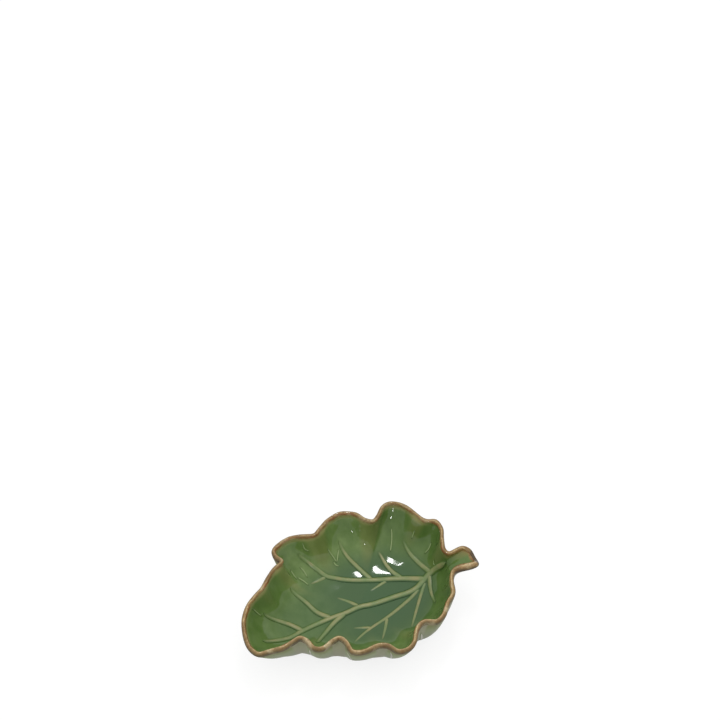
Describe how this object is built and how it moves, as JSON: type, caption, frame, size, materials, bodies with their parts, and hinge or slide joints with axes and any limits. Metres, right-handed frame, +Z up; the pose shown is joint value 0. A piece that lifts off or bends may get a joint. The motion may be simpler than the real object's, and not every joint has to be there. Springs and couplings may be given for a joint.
{
  "type": "leaf-shaped bowl",
  "caption": "Leaf-shaped glazed stoneware bowl with a lobed brown lip, raised veins inside, a short grooved stalk and a low oval foot; holds snacks or small things.",
  "frame": {"origin": "on the table under the middle of the bowl's box", "axes": "+X along the leaf from the tip to the stalk, +Y to its far side in the picture, +Z up out of the bowl"},
  "size_m": [0.1728, 0.1254, 0.036],
  "materials": {
    "green_glaze": "glossy transparent green glaze",
    "brown_glaze": "glossy brown glaze, thin over the edge",
    "pale_vein_glaze": "glossy green glaze, thin and paler over the ridge",
    "bare_stoneware": "bare fired clay, matte"
  },
  "bodies": {
    "root": {"leaf_shell": "green_glaze", "stalk": "green_glaze", "rim_lip": "brown_glaze", "foot_ring": "bare_stoneware", "midrib": "pale_vein_glaze", "far_main_vein": "pale_vein_glaze", "near_main_vein": "pale_vein_glaze", "far_base_vein": "pale_vein_glaze", "near_mid_vein": "pale_vein_glaze", "near_base_vein": "pale_vein_glaze"}
  },
  "joints": []
}
